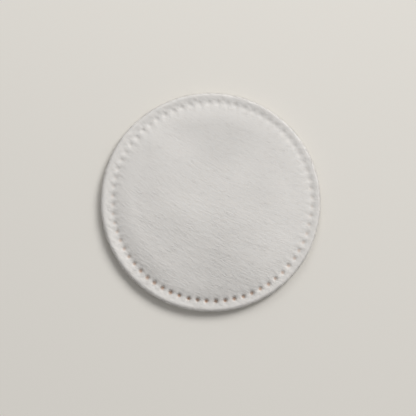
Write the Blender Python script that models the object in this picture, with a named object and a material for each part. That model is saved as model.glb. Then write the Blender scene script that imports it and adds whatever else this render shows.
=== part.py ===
# Round cotton pad, lying flat on its lower side.
# It is pressed and cut from one sheet of wadding: a soft crowned body, a seam of round pits pressed into a
# groove round it, and a full, rounded rim outside the seam. The seam sits a little off the outline's centre.
# Metres, +Z up. The origin is on the surface that the pad lies on, under the middle of the outline.

import math

import bmesh
import bpy
from mathutils import Matrix, Vector

# Outline and rim
PAD_DIAMETER = 0.0570
RIM_THICKNESS = 0.0018
RIM_CREST_SHARE = 0.42  # where the rim is thickest, as a share of the way from the seam to the edge

# Body inside the seam, its lofts measured from the pad's middle plane
FACE_LOFT = 0.00175
BACK_LOFT = 0.00145
DOME_RISE = 0.00045
FACE_SHOULDER_WIDTH = 0.0054
BACK_SHOULDER_WIDTH = 0.0058
FULLNESS = 2.4  # how steeply the shoulders and the bead rise from the seam

# Seam of pits
SEAM_INSET = 0.00263  # from the outline in to the line of pits
SEAM_OFF_CENTRE = Vector((0.00042, 0.00003, 0.0))
SEAM_THICKNESS = 0.00125
SEAM_MARGIN = 0.000125
PIT_MOUTH_DIAMETER = 0.00175
PIT_FLOOR_DIAMETER = 0.00075
PIT_LAND = 0.00064  # the saddle of cotton left between two mouths
FACE_PIT_DEPTH = 0.00050
BACK_PIT_DEPTH = 0.00022
PIT_SECTION = ((1, 0.06), (0.45, 0.60), (0, 1))  # (share of the way from floor to mouth, share of the depth)
FIRST_PIT_ANGLE = math.radians(-3.2)

# Surface of the cotton
COTTON_COLOUR = (0.80, 0.79, 0.77, 1.0)
COTTON_ROUGHNESS = 0.95

# Fineness of the curves
DOME_STEPS = 3
SHOULDER_STEPS = 3
BEAD_STEPS = 2
EDGE_STEPS = 3
WELD_DISTANCE = 1e-6
SMOOTH_ANGLE = math.radians(50)

# Worked out from the sizes above
PAD_RADIUS = PAD_DIAMETER / 2
SEAM_RADIUS = PAD_RADIUS - SEAM_INSET
SEAM_HALF_WIDTH = PIT_MOUTH_DIAMETER / 2 + SEAM_MARGIN
PIT_COUNT = round(math.tau * SEAM_RADIUS / (PIT_MOUTH_DIAMETER + PIT_LAND))
PITCH = math.tau / PIT_COUNT
MIDDLE = BACK_LOFT  # height of the middle plane


def swell(start, end, steps):
    """Points after start on a soft curve that rises steeply from it and levels off at end."""
    (x0, z0), (x1, z1) = start, end
    shares = [step / steps for step in range(1, steps + 1)]
    return [(x0 + (x1 - x0) * share, z1 - (z1 - z0) * (1 - share) ** FULLNESS) for share in shares]


def rounded(start, end, steps):
    """Points after start on a quarter of an ellipse that leaves it level and meets end upright."""
    (x0, z0), (x1, z1) = start, end
    turns = [math.pi / 2 * step / steps for step in range(1, steps + 1)]
    return [(x0 + (x1 - x0) * math.sin(turn), z1 + (z0 - z1) * math.cos(turn)) for turn in turns]


def body_profile(side, loft, dome_rise, shoulder_width):
    """Half section of one side of the body, from its middle out to the seam's inner edge."""
    foot = (SEAM_RADIUS - SEAM_HALF_WIDTH, SEAM_THICKNESS / 2)
    brow = (foot[0] - shoulder_width, loft - dome_rise)
    steps = DOME_STEPS if dome_rise else 1
    dome = [(brow[0] * step / steps, loft - dome_rise * (step / steps) ** 2) for step in range(steps)]
    points = dome + swell(foot, brow, SHOULDER_STEPS)[::-1] + [foot]
    return [(radius, MIDDLE + side * height) for radius, height in points]


def rim_profile(side):
    """Half section of one side of the rim, from the seam's outer edge over the bead to the cut edge."""
    foot = (SEAM_RADIUS + SEAM_HALF_WIDTH, SEAM_THICKNESS / 2)
    crest = (foot[0] + (PAD_RADIUS - foot[0]) * RIM_CREST_SHARE, RIM_THICKNESS / 2)
    points = [foot] + swell(foot, crest, BEAD_STEPS) + rounded(crest, (PAD_RADIUS, 0), EDGE_STEPS)
    return [(radius, MIDDLE + side * height) for radius, height in points]


def turn_sector(bm, profile):
    """Sweeps a half section through one pitch in two columns, with the line between them on the X axis."""
    verts = [bm.verts.new((radius, 0, height)) for radius, height in profile]
    edges = [bm.edges.new(pair) for pair in zip(verts, verts[1:])]
    bmesh.ops.rotate(bm, verts=verts, cent=(0, 0, 0), matrix=Matrix.Rotation(-PITCH / 2, 3, "Z"))
    bmesh.ops.spin(bm, geom=verts + edges, axis=(0, 0, 1), angle=PITCH, steps=2)
    bmesh.ops.remove_doubles(bm, verts=bm.verts, dist=WELD_DISTANCE)


def merge_columns(bm, limit):
    """Inside this radius, one column a pitch is fine enough."""
    inner = [e for e in bm.edges if all(abs(v.co.y) < WELD_DISTANCE and v.co.x < limit for v in e.verts)]
    bmesh.ops.dissolve_edges(bm, edges=inner, use_verts=True)


def inset_circle(bm, face, centre, radius):
    """Insets a face, then lays its new outline on a level circle."""
    bmesh.ops.inset_individual(bm, faces=[face], thickness=WELD_DISTANCE)
    step = math.tau / len(face.verts)
    for vert in face.verts:
        out = vert.co - centre
        turn = step * round(math.atan2(out.y, out.x) / step)
        vert.co = centre + radius * Vector((math.cos(turn), math.sin(turn), 0))


def press_pit(bm, side, depth):
    """Presses one round pit into the middle of the sector: a soft mouth, a throat and a level floor."""
    centre = Vector((SEAM_RADIUS, 0, MIDDLE + side * SEAM_THICKNESS / 2))
    hub = min(bm.verts, key=lambda v: (v.co - centre).length)
    border = {v for face in hub.link_faces for v in face.verts} - {hub}
    bmesh.ops.dissolve_verts(bm, verts=[hub])
    patch = next(face for face in bm.faces if set(face.verts) == border)
    mouth, floor = PIT_MOUTH_DIAMETER / 2, PIT_FLOOR_DIAMETER / 2
    down = Vector((0, 0, -side * depth))
    for spread, sunk in PIT_SECTION:
        inset_circle(bm, patch, centre + down * sunk, floor + (mouth - floor) * spread)


def make_sector():
    """One pitch of the pad, both sides, with its pits."""
    bm = bmesh.new()
    face = (1, FACE_LOFT, DOME_RISE, FACE_SHOULDER_WIDTH, FACE_PIT_DEPTH)
    back = (-1, BACK_LOFT, 0, BACK_SHOULDER_WIDTH, BACK_PIT_DEPTH)
    for side, loft, dome_rise, shoulder_width, pit_depth in (face, back):
        seam = (SEAM_RADIUS, MIDDLE + side * SEAM_THICKNESS / 2)
        turn_sector(bm, body_profile(side, loft, dome_rise, shoulder_width) + [seam] + rim_profile(side))
        press_pit(bm, side, pit_depth)
    merge_columns(bm, SEAM_RADIUS - SEAM_HALF_WIDTH - FACE_SHOULDER_WIDTH / 2)
    return bm


def repeat_sector(bm):
    """Copies the sector round the axis and welds the copies into one closed surface."""
    everything = bm.verts[:] + bm.edges[:] + bm.faces[:]
    bmesh.ops.spin(
        bm,
        geom=everything,
        axis=(0, 0, 1),
        angle=math.tau - PITCH,
        steps=PIT_COUNT - 1,
        use_duplicate=True,
    )
    bmesh.ops.remove_doubles(bm, verts=bm.verts, dist=WELD_DISTANCE)
    bmesh.ops.recalc_face_normals(bm, faces=bm.faces)


def slide_seam(bm):
    """Turns the seam to its first pit and slides it off centre. The rim takes up the slide, so that the
    outline stays a circle about the origin."""
    bmesh.ops.rotate(bm, verts=bm.verts, cent=(0, 0, 0), matrix=Matrix.Rotation(FIRST_PIT_ANGLE, 3, "Z"))
    foot = SEAM_RADIUS + SEAM_HALF_WIDTH
    for vert in bm.verts:
        across = (vert.co.xy.length - foot) / (PAD_RADIUS - foot)
        vert.co += SEAM_OFF_CENTRE * (1 - max(0, min(1, across)))


def cotton():
    material = bpy.data.materials.new("pressed_cotton")
    material.use_nodes = True
    shader = material.node_tree.nodes["Principled BSDF"]
    shader.inputs["Base Color"].default_value = COTTON_COLOUR
    shader.inputs["Roughness"].default_value = COTTON_ROUGHNESS
    shader.inputs["Metallic"].default_value = 0.0
    material.diffuse_color = COTTON_COLOUR
    return material


def make_pad():
    bm = make_sector()
    repeat_sector(bm)
    slide_seam(bm)
    mesh = bpy.data.meshes.new("cotton_pad")
    bm.to_mesh(mesh)
    bm.free()
    mesh.shade_smooth()
    mesh.set_sharp_from_angle(angle=SMOOTH_ANGLE)
    mesh.materials.append(cotton())
    pad = bpy.data.objects.new("cotton_pad", mesh)
    bpy.context.scene.collection.objects.link(pad)


for leftover in list(bpy.data.objects):
    bpy.data.objects.remove(leftover)
make_pad()
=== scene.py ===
"""Round cotton pad: pressed wadding with a crowned body, a seam of small pits and a soft rounded rim.

The script is laid out as an add-on and run as a script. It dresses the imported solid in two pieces. The pad's whole
surface is modelled again as one fine skin, in the same place and form, with uneven pits, puckers that are settled
as cloth, swells, wrinkles and a layered cut edge. Loose fibres lie on that skin. Both get a procedural cotton.
Metres, +Z up.
"""

import math

import bpy
import numpy as np
from bpy.props import FloatProperty, FloatVectorProperty, IntProperty, PointerProperty
from bpy.types import Operator, Panel, PropertyGroup
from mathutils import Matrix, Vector, noise
from mathutils.bvhtree import BVHTree


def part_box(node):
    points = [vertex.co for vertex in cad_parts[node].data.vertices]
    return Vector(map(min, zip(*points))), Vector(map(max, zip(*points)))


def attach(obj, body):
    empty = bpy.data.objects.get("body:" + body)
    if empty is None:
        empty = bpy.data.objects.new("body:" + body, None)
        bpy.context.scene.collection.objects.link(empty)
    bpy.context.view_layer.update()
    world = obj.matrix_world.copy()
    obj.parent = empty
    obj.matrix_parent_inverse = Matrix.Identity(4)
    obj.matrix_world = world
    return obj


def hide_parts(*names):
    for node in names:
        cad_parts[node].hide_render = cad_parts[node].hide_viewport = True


bl_info = {
    "name": "Round Cotton Pad",
    "version": (1, 0, 0),
    "blender": (4, 5, 0),
    "location": "View3D > Sidebar > Cotton Pad",
    "description": "Builds a pressed cotton pad with a seam of pits, its cotton and a plain stage",
    "category": "Object",
}

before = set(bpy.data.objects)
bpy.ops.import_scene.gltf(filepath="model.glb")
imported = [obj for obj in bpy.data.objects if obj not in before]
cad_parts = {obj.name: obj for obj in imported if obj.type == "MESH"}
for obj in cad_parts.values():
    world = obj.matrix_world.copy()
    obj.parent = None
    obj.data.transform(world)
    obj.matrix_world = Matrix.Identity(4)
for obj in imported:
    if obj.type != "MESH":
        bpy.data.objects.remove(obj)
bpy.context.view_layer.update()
PAD_NODE = "cotton_pad"
PAD_LOW, PAD_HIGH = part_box(PAD_NODE)
PAD_RADIUS = (PAD_HIGH[0] - PAD_LOW[0]) / 2
PAD_HEIGHT = PAD_HIGH[2] - PAD_LOW[2]
MM = 0.001


def length(name, description, default):
    return FloatProperty(name=name, description=description, default=default, unit="LENGTH", precision=5)


def share(name, description, default):
    return FloatProperty(name=name, description=description, default=default, subtype="FACTOR")


def degrees(name, description, default):
    return FloatProperty(name=name, description=description, default=math.radians(default), unit="ROTATION")


def amount(name, description, default):
    return FloatProperty(name=name, description=description, default=default)


def whole(name, description, default):
    return IntProperty(name=name, description=description, default=default, min=1)


def colour(name, description, default):
    return FloatVectorProperty(
        name=name, description=description, default=default, size=3, subtype="COLOR", min=0, max=1
    )


def link(name, data):
    item = bpy.data.objects.new(name, data)
    bpy.context.scene.collection.objects.link(item)
    return item


class PadForm(PropertyGroup):
    """Section of the pad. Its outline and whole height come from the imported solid."""

    back_loft: length("Back loft", "Height of the middle plane above the surface it lies on", 1.45 * MM)
    dome_rise: length("Dome rise", "How far the middle of the face stands above its shoulder", 0.45 * MM)
    face_shoulder: length("Face shoulder", "Width of the face's shoulder, inside the seam", 6.2 * MM)
    back_shoulder: length("Back shoulder", "Width of the back's shoulder, inside the seam", 6.6 * MM)
    fullness: amount("Fullness", "How steeply the body rises from the seam", 2.4)
    rim_thickness: length("Rim thickness", "Thickness of the rim at its crest", 1.70 * MM)
    rim_crest: share("Rim crest", "Where the rim is thickest, from the seam to the edge", 0.66)
    edge_roundness: amount("Edge roundness", "2 is a round edge, more is squarer", 2.2)
    rim_lumps: length("Rim lumps", "Height of the soft unevenness of the rim", 0.07 * MM)
    rim_crinkles: length("Rim crinkles", "Height of the small crinkles of the rim", 0.05 * MM)
    edge_waver: length("Edge waver", "How far the cut edge strays from a true circle", 0.05 * MM)
    edge_layers: length("Edge layers", "How far the layers of the wadding stand out of the cut edge", 0.06 * MM)
    swells: length("Swells", "Height of the soft unevenness of the face", 0.50 * MM)
    wrinkles: length("Wrinkles", "Height of the soft wrinkles along the combed fibres", 0.030 * MM)


class SeamForm(PropertyGroup):
    """The groove round the body and its pits."""

    inset: length("Inset", "From the outline in to the line of pits", 2.63 * MM)
    slide_x: length("Slide X", "How far the seam's centre lies from the outline's centre", 0.42 * MM)
    slide_y: length("Slide Y", "How far the seam's centre lies from the outline's centre", 0.03 * MM)
    thickness: length("Saddle thickness", "Mean thickness of the cotton between two pits", 1.25 * MM)
    crease: length("Crease", "Radius that softens the bottom of the groove", 0.60 * MM)
    ease: length("Ease", "How much shallower than the mean the face's groove is on its soft side", 0.16 * MM)
    soft_side: degrees("Soft side", "Side where the face's groove is shallowest", 25)
    pit_count: whole("Pits", "How many pits go round", 68)
    first_pit: degrees("First pit", "Angle of the first pit", -3.2)
    pit_radius: length("Pit radius", "Radius of a pit at half its depth", 0.55 * MM)
    pit_depth: length("Pit depth", "Depth of the deepest pit on the face", 0.63 * MM)
    faintness: share("Faintness", "Depth of the faintest pits, as a share of the deepest", 0.20)
    deepest: degrees("Deepest", "Side with the deepest pits", -95)
    second_share: share("Second share", "How much firmer than the faintest the second side's pits are", 0.08)
    second: degrees("Second", "Side with pits of middling depth", 140)
    back_pit_depth: length("Back pit depth", "Depth of the deepest pit on the back", 0.24 * MM)
    pull: length("Pull", "How far a pit draws down the cotton round it", 0.07 * MM)
    pull_radius: length("Pull radius", "How far that reaches", 0.95 * MM)
    wander: length("Wander", "How far a pit strays from its even place", 0.05 * MM)


class ClothForm(PropertyGroup):
    """How the cotton's skin puckers between the pits, settled as cloth."""

    reach: length("Reach", "How far inside the seam the puckers may run", 3.6 * MM)
    spare: share("Spare skin", "How much wider than the form the skin is round the seam", 0.005)
    spare_reach: length("Spare reach", "How far from the seam there is spare skin", 2.6 * MM)
    grip: share("Grip", "How firmly the padding under the skin holds it", 0.10)
    pressure: amount("Pressure", "Push of the padding under the skin", 1.0)
    bend: amount("Stiffness", "How stiff the skin is against bending", 1.0)
    most: length("Most", "Furthest that the skin may lift or sink", 0.22 * MM)


class FibreForm(PropertyGroup):
    """Loose fibres that stand off the pressed surface."""

    face_count: whole("Face fibres", "Loose fibres on the face", 1300)
    edge_count: whole("Edge fibres", "Loose fibres on the cut edge", 3200)
    back_count: whole("Back fibres", "Loose fibres on the back", 900)
    reach: length("Length", "Usual length of a loose fibre", 1.6 * MM)
    thickness: length("Thickness", "Thickness of a fibre", 0.024 * MM)
    lift: length("Lift", "How far a loose fibre stands off the face", 0.03 * MM)
    edge_lift: length("Edge lift", "How far a loose fibre stands off the cut edge", 0.22 * MM)
    scatter: degrees("Scatter", "How far fibres stray from the combed line", 22)


class CottonLook(PropertyGroup):
    """Colour and surface of the cotton."""

    colour: colour("Cotton", "Colour of the cotton", (0.758, 0.734, 0.704))
    thin_colour: colour("Thin cotton", "Colour between the fibres", (0.728, 0.704, 0.674))
    # Colour of the painted shade and painted brown reflection laid into the pits, darkest in the pits on the deepest
    # side
    painted_pit_shade_colour: colour("Squeezed cotton", "Colour where it is pressed almost through", (0.59, 0.405, 0.30))
    clouds: share("Clouds", "How much lighter and darker the cotton is from place to place", 0.067)
    roughness: share("Roughness", "Roughness of the cotton", 0.92)
    sheen: share("Sheen", "Soft light on the loose fibres", 0.15)
    softness: share("Softness", "How much light goes into the cotton and spreads", 0.25)
    softness_reach: length("Softness reach", "How far light spreads in the cotton", 0.3 * MM)
    relief: length("Relief", "Height of the fine creases and fibres", 0.080 * MM)


class StageLook(PropertyGroup):
    """Floor, lamps and camera."""

    floor_colour: colour("Floor", "Colour of the floor", (0.80, 0.77, 0.715))
    world_level: amount("Ambient", "Level of the even light", 0.315)
    key_level: amount("Key", "Level that the key lamp gives a level sheet", 0.455)
    key_height: degrees("Key height", "Angle of the key lamp above the floor", 40)
    key_turn: degrees("Key turn", "Bearing of the key lamp from +X", 48)
    top_level: amount("Top", "Level that the top lamp gives a level sheet", 0.10)
    top_height: degrees("Top height", "Angle of the top lamp above the floor", 38)
    elevation: degrees("Elevation", "Angle of the view above the floor", 84)
    lens: amount("Lens", "Focal length in millimetres", 100)


# The skin of the pad. It is built in rings, and in its finest rings each pit has the same number of columns.

PIT_COLUMNS = 14
LEAST_STEP = 0.125 * MM  # where columns would be closer than this, a ring has half as many
FACE_STEP, SEAM_STEP = 0.26 * MM, 0.17 * MM  # from ring to ring on the face
BACK_STEP, BACK_SEAM_STEP = 1.4 * MM, 0.35 * MM  # and on the back
SEAM_BAND = 2.2 * MM  # how far inside the pits the rings are as close as in the seam
EDGE_STEPS = 7
SEED = 7

# How pits differ from each other, how their firmness falls off away from a side of the pad, and how the painted
# shade in them falls off away from the deepest side
PIT_SIZES, PIT_DEPTHS = (0.92, 1.08), (0.88, 1.12)
DEEPEST_FALL, SECOND_FALL, PIT_SHADE_FALL = 5, 4, 2.5
BACK_FALL = 0.8  # how much less the back is pressed under the face's deepest pit
FAINT_WALL, FIRM_WALL = 2.4, 6.0  # steepness of a pit's wall when it is pressed faintly and firmly
PIT_SHADE_CORE = 3  # how closely the painted shade keeps to a pit's middle


def smooth(value):
    """Rises softly from 0 to 1 as the value does."""
    value = np.clip(value, 0, 1)
    return value * value * (3 - 2 * value)


def seam_radius(seam):
    return PAD_RADIUS - seam.inset


def rim_crest_radius(form, seam):
    return seam_radius(seam) + seam.inset * form.rim_crest


def columns_at(radius, most):
    """Columns of a ring: halved as the rings get smaller, so that no face gets too narrow."""
    columns = most
    while columns % 2 == 0 and math.tau * radius / columns < LEAST_STEP:
        columns //= 2
    return columns


def ring_radii(form, seam, body_step, seam_step):
    """Radii of one side's rings, from near the middle out to near the cut edge."""
    band = seam_radius(seam) - SEAM_BAND
    crest = rim_crest_radius(form, seam)
    body = np.linspace(0, band, round(band / body_step) + 1)[1:]
    groove = np.linspace(band, crest, round((crest - band) / seam_step) + 1)[1:]
    turns = np.linspace(0, math.pi / 2, EDGE_STEPS + 1)[1:-1]
    edge = crest + (PAD_RADIUS - crest) * np.sin(turns)
    return [*body, *groove, *edge]


class Pits:
    """Places and depths of the pits round the seam, each a little off its even place."""

    def __init__(self, seam):
        chance = np.random.default_rng(SEED)
        self.count = seam.pit_count
        self.pitch = math.tau / self.count
        self.ring = seam_radius(seam)
        self.along = chance.normal(0, seam.wander, self.count)
        self.inward = chance.normal(0, seam.wander, self.count)
        self.size = chance.uniform(*PIT_SIZES, self.count)
        self.depth = chance.uniform(*PIT_DEPTHS, self.count)

    def near(self, radius, angle):
        """For each point, the distance to its three nearest pits, with those pits' numbers."""
        nearest = np.rint(angle / self.pitch).astype(int)
        for step in (-1, 0, 1):
            pit = nearest + step
            number = pit % self.count
            along = (angle - pit * self.pitch) * self.ring - self.along[number]
            inward = self.ring - radius - self.inward[number]
            yield np.hypot(along, inward), number

    def towards(self, number, seam, side):
        """How near a pit lies to one side of the seam, from 0 across the pad from it to 1."""
        return 0.5 + 0.5 * np.cos(number * self.pitch + seam.first_pit - side)

    def firmness(self, number, face, seam):
        """How firmly a pit was pressed, up to 1. The back is pressed less where the face is pressed more, so that
        cotton is left between the two."""
        first, second = (self.towards(number, seam, side) for side in (seam.deepest, seam.second))
        firm = seam.faintness + (1 - seam.faintness) * first**DEEPEST_FALL
        firm += seam.second_share * second**SECOND_FALL
        return firm if face else 1 - BACK_FALL * firm


def pressing(radius, angle, side, seam, pits):
    """How far the pits press each point down, how far they pull it down, and how much painted shade and painted
    brown reflection the pits put on it, as shares of the most."""
    pressed, pulled, painted_pit_shade = np.zeros((3, len(radius)))
    for distance, number in pits.near(radius, angle):
        firm = pits.firmness(number, side > 0, seam)
        wall = FAINT_WALL + (FIRM_WALL - FAINT_WALL) * firm
        core = 1 / (1 + (distance / (seam.pit_radius * pits.size[number])) ** wall)
        pressed += pits.depth[number] * firm * core
        pulled += pits.depth[number] * np.exp(-((distance / seam.pull_radius) ** 2))
        # Painted shade and painted brown reflection in the pit's middle, strongest on the deepest side
        painted_pit_shade += pits.towards(number, seam, seam.deepest) ** PIT_SHADE_FALL * core**PIT_SHADE_CORE
    return pressed, pulled, painted_pit_shade


def half_height(radius, angle, side, form, seam, pits):
    """Height of the pad's surface from its middle plane, on the face (side 1) or the back (side -1), and how much
    painted shade and painted brown reflection the face's pits give it there."""
    ring, crest = seam_radius(seam), rim_crest_radius(form, seam)
    low, high = seam.thickness / 2, form.rim_thickness / 2
    if side > 0:
        low = low + seam.ease * np.cos(angle + seam.first_pit - seam.soft_side)
        loft, dome = PAD_HEIGHT - form.back_loft, form.dome_rise
        shoulder, depth = form.face_shoulder, seam.pit_depth
    else:
        loft, dome = form.back_loft, 0.0
        shoulder, depth = form.back_shoulder, seam.back_pit_depth
    offset = np.sqrt((radius - ring) ** 2 + seam.crease**2) - seam.crease
    rise = 1 - (1 - np.clip(offset / shoulder, 0, 1)) ** form.fullness
    body = low + (loft - dome - low) * rise + dome * (1 - np.clip(radius / (ring - shoulder), 0, 1) ** 2)
    climb = smooth(offset / (crest - ring))
    fall = np.clip((radius - crest) / (PAD_RADIUS - crest), 0, 1)
    held = (1 - fall**form.edge_roundness) ** (1 / form.edge_roundness)
    rim = (low + (high - low) * climb) * held
    height = np.where(radius < ring, body, rim)
    pressed, pulled, painted_pit_shade = pressing(radius, angle, side, seam, pits)
    height = height - held * depth * (pressed + seam.pull / seam.pit_depth * pulled)
    return height, painted_pit_shade * (side > 0)


def build_skin(form, seam):
    """The whole surface, ring by ring: the face, the cut edge and the back. Gives its points as radius, angle,
    height and the weight of the painted shade in the pits, and its faces, with a hub at the middle of the face and
    one at the middle of the back."""
    most = seam.pit_count * PIT_COLUMNS
    pits = Pits(seam)
    face = [(radius, 1) for radius in ring_radii(form, seam, FACE_STEP, SEAM_STEP)]
    back = [(radius, -1) for radius in ring_radii(form, seam, BACK_STEP, BACK_SEAM_STEP)]
    points, faces, rings = [], [], []
    total = 0
    for radius, side in face + [(PAD_RADIUS, 1)] + back[::-1]:
        columns = columns_at(radius, most)
        angle = np.arange(columns) * math.tau / columns
        ring = np.full(columns, radius)
        height, painted_pit_shade = half_height(ring, angle, side, form, seam, pits)
        points.append(np.stack([ring, angle, form.back_loft + side * height, painted_pit_shade], axis=1))
        rings.append((total, columns))
        total += columns
    for (inner, few), (outer, many) in zip(rings, rings[1:]):
        faces += strip(inner, few, outer, many)
    faces += fan(total, *rings[0])
    faces += [(hub, after, before) for hub, before, after in fan(total + 1, *rings[-1])]
    return np.concatenate(points), faces


def fan(hub, first, columns):
    """Faces from a hub to the ring round it."""
    return [(hub, first + i, first + (i + 1) % columns) for i in range(columns)]


def strip(first, few, second, many):
    """Faces between two neighbouring rings, whose columns are equal or differ by a factor of two."""
    faces = []
    if few == many:
        for i in range(few):
            j = (i + 1) % few
            faces.append((first + i, second + i, second + j, first + j))
    elif few < many:
        for i in range(few):
            j = (i + 1) % few
            a, b, c = second + 2 * i, second + 2 * i + 1, second + (2 * i + 2) % many
            faces += [(first + i, a, b), (first + i, b, first + j), (first + j, b, c)]
    else:
        for i in range(many):
            j = (i + 1) % many
            a, b, c = first + 2 * i, first + 2 * i + 1, first + (2 * i + 2) % few
            faces += [(a, second + i, b), (b, second + i, second + j), (b, second + j, c)]
    return faces


# Unevenness of the skin. A rate is how fast a noise changes, per metre, and a place is where in it the pad lies.

SWELL_RATE, SWELL_PLACE = 55, Vector((50.9, 1.9, 7.8))
CLOUD_RATE, CLOUD_PLACE = 45, Vector((0.3, 31.0, 27.4))
LUMP_RATE, LUMP_PLACE = 230, Vector((3.0, 8.0, 2.0))
WAVER_RATE, WAVER_PLACE = 90, Vector((6.0, 1.0, 4.0))
CRINKLE_RATE, CRINKLE_PLACE = 620, Vector((9.0, 4.0, 7.0))
LAYER_RATE, LAYER_SPREAD, LAYER_PLACE = 500, 4, Vector((2.0, 5.0, 1.0))

# The combed fibres run down to the right along a bent line, whose height is slope x + bend x squared
FIBRE_SLOPE = -0.49
FIBRE_BEND = 3.5

# Wrinkles and strands are firmer low on the face, below a line that leans and bends likewise, and fade to the
# right by this share a metre
LOW_LEAN = 0.2
LOW_BEND = 12.0
LOW_MIDDLE = -4 * MM
LOW_SOFTNESS = 5 * MM
SIDE_FADE = 9.0

# Wrinkles: rates along the combed fibres, across them and upward, and the shares that make up their height
FINE_RATES, BROAD_RATES, BROAD_PLACE = (420, 1500, 900), (240, 800, 500), 5
WAVE_RATE, WAVE = 160, 1.2 * MM
GATHER_RATE, GATHER_PLACE = 90, 9
BROAD_SHARE = 0.5
EVEN_SHARE, LOW_SHARE, GATHERED_SHARE = 0.35, 0.5, 0.6


def fibre_line(x):
    """How far the combed fibres have come down at x."""
    return FIBRE_SLOPE * x + FIBRE_BEND * x * x


def drawn_noise(along, across, up, rates, place=0):
    """Noise drawn out along the combed fibres."""
    return noise.noise(Vector((along * rates[0], across * rates[1], up * rates[2] + place)))


def wrinkle(x, y, z):
    """Height share of the fine wrinkles at a point: short and a little wavy, gathered in patches low down."""
    across = y - fibre_line(x) + noise.noise(Vector((x, y, z)) * WAVE_RATE) * WAVE
    fine = drawn_noise(x, across, z, FINE_RATES)
    broad = drawn_noise(x, across, z, BROAD_RATES, BROAD_PLACE)
    gather = 0.5 + 0.5 * noise.noise(Vector((x * GATHER_RATE, y * GATHER_RATE, GATHER_PLACE)))
    low = 1 / (1 + math.exp((y + LOW_LEAN * x + LOW_BEND * x * x - LOW_MIDDLE) / LOW_SOFTNESS))
    low *= 1 - SIDE_FADE * x
    return (fine + BROAD_SHARE * broad) * (EVEN_SHARE + LOW_SHARE * low + GATHERED_SHARE * gather * low)


def drift(points, rate, place, spread=0):
    """Soft noise over the pad, from about -1 to 1. With a spread, it changes that many times faster upward."""
    places = (Vector((x, y, z * spread)) * rate + place for x, y, z in points)
    return np.array([noise.fractal(spot, 1.0, 2.0, 2) for spot in places])


def slide_seam(radius, angle, height, seam):
    """Places of the skin's points, with the seam turned to its first pit and slid off the outline's centre. The
    rim takes up the slide."""
    turned = angle + seam.first_pit
    points = np.stack([radius * np.cos(turned), radius * np.sin(turned), height], axis=1)
    foot = seam_radius(seam) + seam.pit_radius
    held = 1 - np.clip((radius - foot) / (PAD_RADIUS - foot), 0, 1)
    points[:, 0] += seam.slide_x * held
    points[:, 1] += seam.slide_y * held
    return points


def soften(points, radius, upper, puckers, form, seam):
    """Moves the skin's points into the unevenness of cotton: swells, wrinkles and puckers on the body, lumps and
    crinkles on the rim, and the waver and the layers of the cut edge."""
    ring = seam_radius(seam)
    inside = smooth((ring - radius) / form.face_shoulder)
    outside = np.clip((radius - ring) / (rim_crest_radius(form, seam) - ring), 0, 1)
    swell = drift(points, SWELL_RATE, SWELL_PLACE) * form.swells
    fold = np.array([wrinkle(x, y, z) for x, y, z in points]) * form.wrinkles
    points[:, 2] += np.where(upper, puckers, 0)
    lumps = drift(points, LUMP_RATE, LUMP_PLACE) * form.rim_lumps
    crinkles = drift(points, CRINKLE_RATE, CRINKLE_PLACE) * form.rim_crinkles
    rough = (lumps + crinkles) * outside
    points[:, 2] += np.where(upper, swell * inside + fold + rough, -fold * (1 - inside) - rough)
    waver = drift(points, WAVER_RATE, WAVER_PLACE) * form.edge_waver
    layers = drift(points, LAYER_RATE, LAYER_PLACE, LAYER_SPREAD) * form.edge_layers
    points[:, :2] *= 1 + ((waver + layers) * outside / PAD_RADIUS)[:, None]


def press_skin(form, seam, cloth):
    """The finished points and faces of the pad, with how much painted pit shade and how cloudy the cotton is at each
    point.
    """
    polar, faces = build_skin(form, seam)
    radius, angle, height, painted_pit_shade = polar.T
    points = slide_seam(radius, angle, height, seam)
    puckers = lift_at(radius, angle, *pucker(form, seam, cloth))
    soften(points, radius, height > form.back_loft, puckers, form, seam)
    middle = (seam.slide_x, seam.slide_y)
    points = np.concatenate([points, [(*middle, points[0, 2]), (*middle, 0.0)]])
    points[:, 2] = np.clip(points[:, 2], 0, None)
    # Weight of the painted shade in the pits, none at the two hubs
    painted_pit_shade = np.concatenate([painted_pit_shade, [0, 0]])
    return points, faces, painted_pit_shade, drift(points, CLOUD_RATE, CLOUD_PLACE)


# Puckers. The net is settled at a larger size, because cloth is made for garments, not for millimetres.

MAGNIFY = 20
NET_COLUMNS = 6
NET_STEP = 0.5 * MM
NET_FRAMES = 20
NET_QUALITY = 6


def net_form(form, seam, cloth):
    """A coarse net of the skin round the seam, ring by ring: its radii, its points, and how far each point is from
    the nearest pit."""
    pits = Pits(seam)
    inner, outer = seam_radius(seam) - cloth.reach, rim_crest_radius(form, seam)
    radii = np.linspace(inner, outer, round((outer - inner) / NET_STEP) + 1)
    columns = seam.pit_count * NET_COLUMNS
    angle = np.arange(columns) * math.tau / columns
    points, near = [], []
    for radius in radii:
        ring = np.full(columns, radius)
        height, _ = half_height(ring, angle, 1, form, seam, pits)
        points.append(np.stack([ring * np.cos(angle), ring * np.sin(angle), form.back_loft + height], axis=1))
        near.append(np.min([distance for distance, _ in pits.near(ring, angle)], axis=0))
    return radii, np.concatenate(points), np.array(near)


def hang_net(start, radii, near, seam, cloth):
    """The net as a mesh. It is held at its ends and in the pits, gripped a little elsewhere, and has its spare
    skin where it isn't calm."""
    rings, columns = near.shape
    faces = []
    for ring in range(rings - 1):
        faces += strip(ring * columns, columns, (ring + 1) * columns, columns)
    mesh = bpy.data.meshes.new("net")
    mesh.from_pydata(start.tolist(), [], faces)
    net = link("net", mesh)
    held, calm = net.vertex_groups.new(name="held"), net.vertex_groups.new(name="calm")
    for ring in range(rings):
        end = ring in (0, rings - 1)
        spare = smooth(1 - abs(radii[ring] - seam_radius(seam)) / cloth.spare_reach)
        row = range(ring * columns, (ring + 1) * columns)
        calm.add(list(row), 1 - spare, "REPLACE")
        for vertex, distance in zip(row, near[ring]):
            held.add([vertex], 1 if end or distance < seam.pit_radius else cloth.grip, "REPLACE")
    return net


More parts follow.
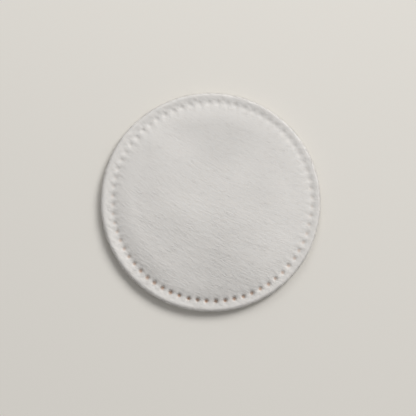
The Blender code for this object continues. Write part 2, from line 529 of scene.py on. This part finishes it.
def settle(net, cloth):
    """Runs the net as cloth that the padding pushes from below, takes it away, and gives where its points end."""
    modifier = net.modifiers.new("cloth", "CLOTH")
    modifier.collision_settings.use_collision = False
    modifier.point_cache.frame_end = NET_FRAMES
    settings = modifier.settings
    settings.quality = NET_QUALITY
    settings.effector_weights.gravity = 0
    settings.vertex_group_mass = "held"
    settings.vertex_group_shrink = "calm"
    settings.shrink_min = -cloth.spare
    settings.bending_stiffness = cloth.bend
    settings.use_pressure = True
    settings.uniform_pressure_force = cloth.pressure
    for frame_number in range(1, NET_FRAMES + 1):
        bpy.context.scene.frame_set(frame_number)
    settled = net.evaluated_get(bpy.context.evaluated_depsgraph_get()).data
    ends = np.zeros(len(settled.vertices) * 3)
    settled.vertices.foreach_get("co", ends)
    mesh = net.data
    bpy.data.objects.remove(net)
    bpy.data.meshes.remove(mesh)
    bpy.context.scene.frame_set(1)
    return ends.reshape(-1, 3)


def pucker(form, seam, cloth):
    """Settles the net as cloth that is a little too wide for the form and held at the pits. Gives its radii and
    how far each of its points lifted, ring by ring."""
    radii, points, near = net_form(form, seam, cloth)
    start = points * MAGNIFY
    ends = settle(hang_net(start, radii, near, seam, cloth), cloth)
    lift = ((ends[:, 2] - start[:, 2]) / MAGNIFY).reshape(near.shape)
    lift -= lift.mean(axis=1, keepdims=True)
    return radii, np.clip(lift, -cloth.most, cloth.most)


def lift_at(radius, angle, radii, lift):
    """The net's lift at points between its own."""
    rings, columns = lift.shape
    row = np.clip((radius - radii[0]) / (radii[-1] - radii[0]), 0, 1) * (rings - 1)
    low = np.minimum(row.astype(int), rings - 2)
    column = angle / math.tau * columns
    left = column.astype(int)
    up, across = smooth(row - low), smooth(column - left)
    first, second = lift[:, left % columns], lift[:, (left + 1) % columns]
    every = np.arange(len(radius))
    blended = first * (1 - across) + second * across
    return blended[low, every] * (1 - up) + blended[low + 1, every] * up


# Loose fibres. Ranges are shares of the usual length and lift.

FIBRE_POINTS = 5
FIBRE_SIDES = 3
FIBRE_ROOT = 0.02 * MM  # how far a fibre starts under the skin
LEVEL = 0.8  # the skin belongs to the pad's face or back where its normal is at least this much up or down
LENGTHS, LIFTS, CURL = (0.4, 1.5), (0.2, 1.6), 0.10
CLIMB = 0.6  # how far fibres stray out of level
LOOSE_SHARE, LOOSE_RISE = 0.35, 1.5  # these stand off at their far end, and the others arch
BLUNT = 0.12  # share of its length at which a fibre's end is cut across


def fibre_starts(pad, form, chance):
    """Places on the pad's skin that fibres rise from, with the way each runs and how far it may stand off."""
    faces = pad.data.polygons
    area, centre, normal = np.zeros(len(faces)), np.zeros(len(faces) * 3), np.zeros(len(faces) * 3)
    faces.foreach_get("area", area)
    faces.foreach_get("center", centre)
    faces.foreach_get("normal", normal)
    centre, normal = centre.reshape(-1, 3), normal.reshape(-1, 3)
    zones = (
        (form.face_count, normal[:, 2] > LEVEL, form.lift),
        (form.edge_count, np.abs(normal[:, 2]) <= LEVEL, form.edge_lift),
        (form.back_count, normal[:, 2] < -LEVEL, form.lift / 2),
    )
    picked, lifts = [], []
    for count, zone, lift in zones:
        picked.append(chance.choice(len(faces), count, p=area * zone / (area * zone).sum()))
        lifts.append(np.full(count, lift))
    picked = np.concatenate(picked)
    start, up = centre[picked], normal[picked]
    slope = FIBRE_SLOPE + 2 * FIBRE_BEND * start[:, 0]
    turn = np.arctan(slope) + chance.normal(0, form.scatter, len(picked))
    turn = np.where(np.abs(up[:, 2]) > LEVEL, turn, chance.uniform(0, math.tau, len(picked)))
    way = np.stack([np.cos(turn), np.sin(turn), chance.normal(0, CLIMB, len(picked))], axis=1)
    way -= up * (way * up).sum(axis=1)[:, None]
    way /= np.linalg.norm(way, axis=1)[:, None]
    return start, up, way, np.concatenate(lifts)


def fibre_paths(pad, form, chance):
    """The line of each fibre along the skin, the way out of the skin at each of its points, and the way it runs."""
    start, up, way, lift = fibre_starts(pad, form, chance)
    count = len(start)
    mesh = pad.data
    skin = BVHTree.FromPolygons([v.co for v in mesh.vertices], [tuple(f.vertices) for f in mesh.polygons])
    reach = form.reach * chance.uniform(*LENGTHS, count)
    curl = form.reach * chance.normal(0, CURL, count)
    height = lift * chance.uniform(*LIFTS, count)
    loose = chance.random(count) < LOOSE_SHARE
    across = np.cross(up, way)
    path, out = np.zeros((2, count, FIBRE_POINTS, 3))
    for step, along in enumerate(np.linspace(0, 1, FIBRE_POINTS)):
        arch = 4 * along * (1 - along)
        near = start + way * (reach * (along - 0.5))[:, None] + across * (curl * arch)[:, None]
        stand = height * np.where(loose, along**LOOSE_RISE, arch) - FIBRE_ROOT * (1 - along * loose)
        for i in range(count):
            spot, facing, _, _ = skin.find_nearest(near[i])
            path[i, step] = spot + facing * stand[i]
            out[i, step] = facing
    path[:, :, 2] = np.maximum(path[:, :, 2], form.thickness / 2)
    return path, out, way


def tube_faces(base):
    """Faces of one closed fibre whose first point is numbered base."""
    tip = base + (FIBRE_POINTS - 1) * FIBRE_SIDES
    faces = []
    for first in range(base, tip, FIBRE_SIDES):
        for side in range(FIBRE_SIDES):
            a, b = first + side, first + (side + 1) % FIBRE_SIDES
            faces.append((b, a, a + FIBRE_SIDES, b + FIBRE_SIDES))
    ends = range(base, base + FIBRE_SIDES), reversed(range(tip, tip + FIBRE_SIDES))
    return [*faces, *map(tuple, ends)]


def fibre_mesh(pad, form):
    """Thin three-sided tubes that follow the skin: they rise from it, arch or stand off, and some dip back in."""
    path, out, way = fibre_paths(pad, form, np.random.default_rng(SEED + 1))
    sideways = np.cross(out, way[:, None, :])
    sideways /= np.linalg.norm(sideways, axis=2)[:, :, None]
    shares = np.clip(np.linspace(0, 1, FIBRE_POINTS), BLUNT, 1 - BLUNT)
    taper = form.thickness / 2 * np.sqrt(np.sin(shares * math.pi))
    turns = np.arange(FIBRE_SIDES) * math.tau / FIBRE_SIDES
    ring = out[:, :, None] * np.cos(turns)[:, None] + sideways[:, :, None] * np.sin(turns)[:, None]
    points = path[:, :, None] + ring * taper[:, None, None]
    points = points.reshape(-1, 3)
    bases = range(0, len(points), FIBRE_POINTS * FIBRE_SIDES)
    return points, [face for base in bases for face in tube_faces(base)]


# Materials

SHEEN_ROUGHNESS = 0.6
LIGHT_SPREAD = (1.0, 0.95, 0.9)  # red light goes a little further in the cotton than blue
SPECULAR = 0.2  # of the cotton and the floor, which are both dull
FLOOR_ROUGHNESS = 0.9

# Relief of the cotton. Drawn noises have a rate along the combed fibres and across them, detail and distortion.
# The others have a rate, detail and roughness. A gain is how sharply a crease, a fold or a patch begins.
STRANDS = (560.0, 2200.0, 2.0, 1.1)
LONG_STRANDS = (230.0, 1250.0, 1.0, 0.9)
HAIRS = (900.0, 5200.0, 3.0, 0.8)
DRAWN_ROUGHNESS = 0.55
GRAIN = (3200.0, 3.0, 0.6)
PATCHES = (130.0, 1.0, 0.5)
PATCH_START, PATCH_GAIN = 0.47, 9.0
CREASE_WIDTH, CREASE_GAIN, CREASE_SHARE = 0.12, 6.0, 0.20
FOLD_WIDTH, FOLD_GAIN, FOLD_SHARE = 0.035, 28.0, 0.55
HAIR_SHARE, GRAIN_SHARE = 0.30, 0.15
HIGH_END, LOW_END = 10 * MM, -18 * MM  # the strands grow firmer between these heights on the face
STRANDS_LEAST, STRANDS_MOST = 0.36, 1.10

# Tones of the cotton. Thin cotton turns to full cotton over this range of a noise.
TONE_RANGE = (0.35, 0.65)
LOOSE_PATCHES = (1100.0, 2.0, 0.6)


class Nodes:
    """A short way to add and link shader nodes."""

    def __init__(self, tree):
        self.tree = tree

    def feed(self, node, inputs):
        """Links or sets a node's sockets."""
        for name, value in inputs.items():
            if isinstance(value, bpy.types.NodeSocket):
                self.tree.links.new(value, node.inputs[name])
            else:
                node.inputs[name].default_value = value

    def add(self, kind, inputs=None, **settings):
        node = self.tree.nodes.new(kind)
        for name, value in settings.items():
            setattr(node, name, value)
        self.feed(node, inputs or {})
        return node

    def math(self, operation, *values, clamp=False):
        inputs = dict(enumerate(values))
        return self.add("ShaderNodeMath", inputs, operation=operation, use_clamp=clamp).outputs[0]

    def times(self, product, *factors):
        for factor in factors:
            product = self.math("MULTIPLY", product, factor)
        return product

    def mix(self, blend, factor, first, second):
        """Mixes two colours, which sit on the Mix node's sixth and seventh sockets."""
        inputs = {0: factor, 6: first, 7: second}
        return self.add("ShaderNodeMix", inputs, data_type="RGBA", blend_type=blend).outputs[2]

    def noise(self, place, rate, detail, roughness, distortion=0.0):
        inputs = {"Vector": place, "Scale": rate, "Detail": detail, "Roughness": roughness}
        return self.add("ShaderNodeTexNoise", {**inputs, "Distortion": distortion}).outputs["Fac"]

    def grow(self, value, start, end, least=0.0, most=1.0, kind="LINEAR"):
        """Grows from least to most as the value goes from start to end."""
        inputs = {"Value": value, "From Min": start, "From Max": end, "To Min": least, "To Max": most}
        return self.add("ShaderNodeMapRange", inputs, interpolation_type=kind).outputs["Result"]

    def thread(self, value, width, gain):
        """1 along the threads where a noise passes through its middle, and 0 between them."""
        off = self.math("ABSOLUTE", self.math("SUBTRACT", value, 0.5))
        return self.math("MULTIPLY", self.math("SUBTRACT", width, off), gain, clamp=True)


def new_material(name):
    material = bpy.data.materials.new(name)
    material.use_nodes = True
    return material, material.node_tree.nodes["Principled BSDF"], Nodes(material.node_tree)


def opaque(rgb):
    return (*rgb, 1.0)


def fibre_noise(nodes, x, across, z, along_rate, across_rate, detail, distortion):
    """Noise drawn out along the combed fibres."""
    along, across, up = nodes.times(x, along_rate), nodes.times(across, across_rate), nodes.times(z, across_rate)
    drawn = nodes.add("ShaderNodeCombineXYZ", {"X": along, "Y": across, "Z": up}).outputs[0]
    return nodes.noise(drawn, 1.0, detail, DRAWN_ROUGHNESS, distortion)


def combed_relief(nodes, place):
    """Relief of the combed cotton, and its hairs alone. Strands, creases and folds are firmest low on the face,
    and fade to the right."""
    x, y, z = nodes.add("ShaderNodeSeparateXYZ", {"Vector": place}).outputs
    squared = nodes.times(x, x)
    line = nodes.math("ADD", nodes.times(squared, FIBRE_BEND), nodes.times(x, FIBRE_SLOPE))
    across = nodes.math("SUBTRACT", y, line)
    strands = fibre_noise(nodes, x, across, z, *STRANDS)
    long_strands = fibre_noise(nodes, x, across, z, *LONG_STRANDS)
    hairs = fibre_noise(nodes, x, across, z, *HAIRS)
    creases = nodes.thread(strands, CREASE_WIDTH, CREASE_GAIN)
    patches = nodes.math("SUBTRACT", nodes.noise(place, *PATCHES), PATCH_START)
    gathered = nodes.math("MULTIPLY", patches, PATCH_GAIN, clamp=True)
    folds = nodes.times(nodes.thread(long_strands, FOLD_WIDTH, FOLD_GAIN), gathered, FOLD_SHARE)
    lines = nodes.math("SUBTRACT", strands, nodes.math("MULTIPLY_ADD", creases, CREASE_SHARE, folds))
    leaning = nodes.math("MULTIPLY_ADD", squared, LOW_BEND, nodes.math("MULTIPLY_ADD", x, LOW_LEAN, y))
    low = nodes.grow(leaning, HIGH_END, LOW_END, STRANDS_LEAST, STRANDS_MOST, "SMOOTHSTEP")
    fade = nodes.math("MULTIPLY_ADD", x, -SIDE_FADE, 1.0)
    grain = nodes.noise(place, *GRAIN)
    fine = nodes.math("ADD", nodes.times(hairs, HAIR_SHARE), nodes.times(grain, GRAIN_SHARE))
    return nodes.math("ADD", nodes.times(low, fade, lines), fine), hairs


def pressed_cotton(look):
    """Cotton in two tones, with soft clouds, and painted shade with a painted brown reflection in the pits,
    strongest on the deepest side.
    """
    material, shader, nodes = new_material("pressed_cotton")
    place = nodes.add("ShaderNodeTexCoord").outputs["Object"]
    relief, hairs = combed_relief(nodes, place)
    combed = nodes.mix("MIX", nodes.grow(hairs, *TONE_RANGE), opaque(look.thin_colour), opaque(look.colour))
    cloud = nodes.add("ShaderNodeAttribute", attribute_name="cloud").outputs["Fac"]
    painted_pit_shade = nodes.add("ShaderNodeAttribute", attribute_name="painted_pit_shade").outputs["Fac"]
    cloudy = nodes.mix("MULTIPLY", 1.0, combed, nodes.math("MULTIPLY_ADD", cloud, look.clouds, 1.0))
    # Mixes the painted shade and painted brown reflection into the pits
    with_painted_pit_shade = nodes.mix("MIX", painted_pit_shade, cloudy, opaque(look.painted_pit_shade_colour))
    bump = nodes.add("ShaderNodeBump", {"Height": relief, "Strength": 1.0, "Distance": look.relief})
    settings = {
        "Base Color": with_painted_pit_shade,
        "Normal": bump.outputs[0],
        "Roughness": look.roughness,
        "Sheen Weight": look.sheen,
        "Sheen Roughness": SHEEN_ROUGHNESS,
        "Subsurface Weight": look.softness,
        "Subsurface Radius": LIGHT_SPREAD,
        "Subsurface Scale": look.softness_reach,
        "Specular IOR Level": SPECULAR,
    }
    nodes.feed(shader, settings)
    return material


def loose_cotton(look):
    """Cotton of the loose fibres: the pressed cotton's two tones, in small patches."""
    material, shader, nodes = new_material("loose_cotton")
    place = nodes.add("ShaderNodeTexCoord").outputs["Object"]
    tone = nodes.grow(nodes.noise(place, *LOOSE_PATCHES), *TONE_RANGE)
    settings = {
        "Base Color": nodes.mix("MIX", tone, opaque(look.thin_colour), opaque(look.colour)),
        "Roughness": look.roughness,
        "Sheen Weight": look.sheen,
        "Specular IOR Level": SPECULAR,
    }
    nodes.feed(shader, settings)
    return material


def plain_floor(look):
    material, shader, nodes = new_material("pale_floor")
    settings = {
        "Base Color": opaque(look.floor_colour),
        "Roughness": FLOOR_ROUGHNESS,
        "Specular IOR Level": SPECULAR,
    }
    nodes.feed(shader, settings)
    return material


# Operators


class PADDRESS_OT_press(Operator):
    """Model the pad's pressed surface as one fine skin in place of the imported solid"""

    bl_idname = "paddress.press"
    bl_label = "Press Pad"

    def execute(self, context):
        scene = context.scene
        points, faces, painted_pit_shade, cloud = press_skin(scene.pad_form, scene.pad_seam, scene.pad_cloth)
        mesh = bpy.data.meshes.new("pressed_pad")
        mesh.from_pydata(points.tolist(), [], faces)
        mesh.validate()
        # Stores the weight of the painted shade in the pits and the cotton's clouds
        for name, values in (("painted_pit_shade", painted_pit_shade), ("cloud", cloud)):
            mesh.attributes.new(name, "FLOAT", "POINT").data.foreach_set("value", values.astype(np.float32))
        mesh.shade_smooth()
        pad = link("pressed_pad", mesh)
        mesh.materials.append(pressed_cotton(scene.pad_cotton))
        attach(pad, "root")
        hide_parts(PAD_NODE)
        return {"FINISHED"}


class PADDRESS_OT_tease(Operator):
    """Lift fine loose fibres off the pressed surface and the cut edge"""

    bl_idname = "paddress.tease"
    bl_label = "Tease Fibres"

    def execute(self, context):
        scene = context.scene
        points, faces = fibre_mesh(bpy.data.objects["pressed_pad"], scene.pad_fibres)
        mesh = bpy.data.meshes.new("loose_fibres")
        mesh.from_pydata(points.tolist(), [], faces)
        mesh.shade_smooth()
        mesh.materials.append(loose_cotton(scene.pad_cotton))
        fibres = link("loose_fibres", mesh)
        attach(fibres, "root")
        return {"FINISHED"}


# The stage. The photograph and the pad in it are in pixels, and the sensor is in millimetres.
PHOTO_SIZE = 416
PHOTO_PAD_WIDTH = 219.5
PHOTO_PAD_CENTRE = (210.5, 201.5)
SENSOR = 36.0
NEAREST = 0.01  # the least distance that the camera sees
FLOOR_REACH = 3.0
FLOOR_GAP = 0.02 * MM
KEY_DISTANCE, KEY_SIZE = 1.6, 0.80
TOP_DISTANCE, TOP_SIZE = 0.34, 0.13


class PADDRESS_OT_stage(Operator):
    """Lay a plain pale floor, and set the lamps and the camera"""

    bl_idname = "paddress.stage"
    bl_label = "Set Stage"

    def execute(self, context):
        look = context.scene.pad_stage
        self.lay_floor(look)
        self.light(context.scene, look)
        self.place_camera(context.scene, look)
        context.scene.view_settings.view_transform = "Standard"
        return {"FINISHED"}

    def lay_floor(self, look):
        mesh = bpy.data.meshes.new("floor")
        corners = [(-1, -1), (1, -1), (1, 1), (-1, 1)]
        mesh.from_pydata([(x * FLOOR_REACH, y * FLOOR_REACH, 0) for x, y in corners], [], [(0, 1, 2, 3)])
        floor = link("floor", mesh)
        floor.location.z = PAD_LOW[2] - FLOOR_GAP
        mesh.materials.append(plain_floor(look))

    def light(self, scene, look):
        world = bpy.data.worlds.new("soft_room")
        world.use_nodes = True
        back = world.node_tree.nodes["Background"]
        back.inputs["Color"].default_value = (1, 1, 1, 1)
        back.inputs["Strength"].default_value = look.world_level
        scene.world = world
        self.hang_lamp("key", look.key_level, look.key_height, look.key_turn, KEY_DISTANCE, KEY_SIZE)
        self.hang_lamp("top", look.top_level, look.top_height, math.pi / 2, TOP_DISTANCE, TOP_SIZE)

    def hang_lamp(self, name, level, height, turn, distance, size):
        """A soft round lamp that looks at the pad. Its level is what it gives a level sheet."""
        lamp = bpy.data.lights.new(name, "AREA")
        lamp.shape = "DISK"
        lamp.size = size
        lamp.energy = level * math.pi**2 * distance**2 / math.sin(height)
        hung = link(name, lamp)
        flat = math.cos(height)
        towards = Vector((flat * math.cos(turn), flat * math.sin(turn), math.sin(height)))
        hung.location = towards * distance
        hung.rotation_euler = (-towards).to_track_quat("-Z", "Y").to_euler()

    def place_camera(self, scene, look):
        """Aims the camera so that the pad has the place and width that it has in the photograph."""
        lens = bpy.data.cameras.new("camera")
        lens.lens = look.lens
        lens.sensor_width = SENSOR
        lens.clip_start = NEAREST
        pixel = 2 * PAD_RADIUS / PHOTO_PAD_WIDTH
        distance = pixel * PHOTO_SIZE * look.lens / SENSOR
        right, down = (centre - PHOTO_SIZE / 2 for centre in PHOTO_PAD_CENTRE)
        aim = Vector((-right * pixel, down * pixel / math.sin(look.elevation), scene.pad_form.back_loft))
        back = Vector((0, -math.cos(look.elevation), math.sin(look.elevation)))
        camera = link("camera", lens)
        camera.location = aim + back * distance
        camera.rotation_euler = (-back).to_track_quat("-Z", "Y").to_euler()
        scene.camera = camera


class PADDRESS_PT_panel(Panel):
    """Every size and colour of the pad, and the steps that build it"""

    bl_label = "Cotton Pad"
    bl_idname = "PADDRESS_PT_panel"
    bl_space_type = "VIEW_3D"
    bl_region_type = "UI"
    bl_category = "Cotton Pad"

    def draw(self, context):
        for group in SETTINGS:
            settings = getattr(context.scene, group)
            box = self.layout.box()
            for name in settings.__annotations__:
                box.prop(settings, name)
        for operator in OPERATORS:
            self.layout.operator(operator.bl_idname)


OPERATORS = (PADDRESS_OT_press, PADDRESS_OT_tease, PADDRESS_OT_stage)
SETTINGS = {
    "pad_form": PadForm,
    "pad_seam": SeamForm,
    "pad_cloth": ClothForm,
    "pad_fibres": FibreForm,
    "pad_cotton": CottonLook,
    "pad_stage": StageLook,
}
CLASSES = (*SETTINGS.values(), *OPERATORS, PADDRESS_PT_panel)


def register():
    for kind in CLASSES:
        bpy.utils.register_class(kind)
    for name, kind in SETTINGS.items():
        setattr(bpy.types.Scene, name, PointerProperty(type=kind))


def unregister():
    for name in SETTINGS:
        delattr(bpy.types.Scene, name)
    for kind in reversed(CLASSES):
        bpy.utils.unregister_class(kind)


def main():
    register()
    bpy.ops.paddress.press()
    bpy.ops.paddress.tease()
    bpy.ops.paddress.stage()


if __name__ == "__main__":
    main()
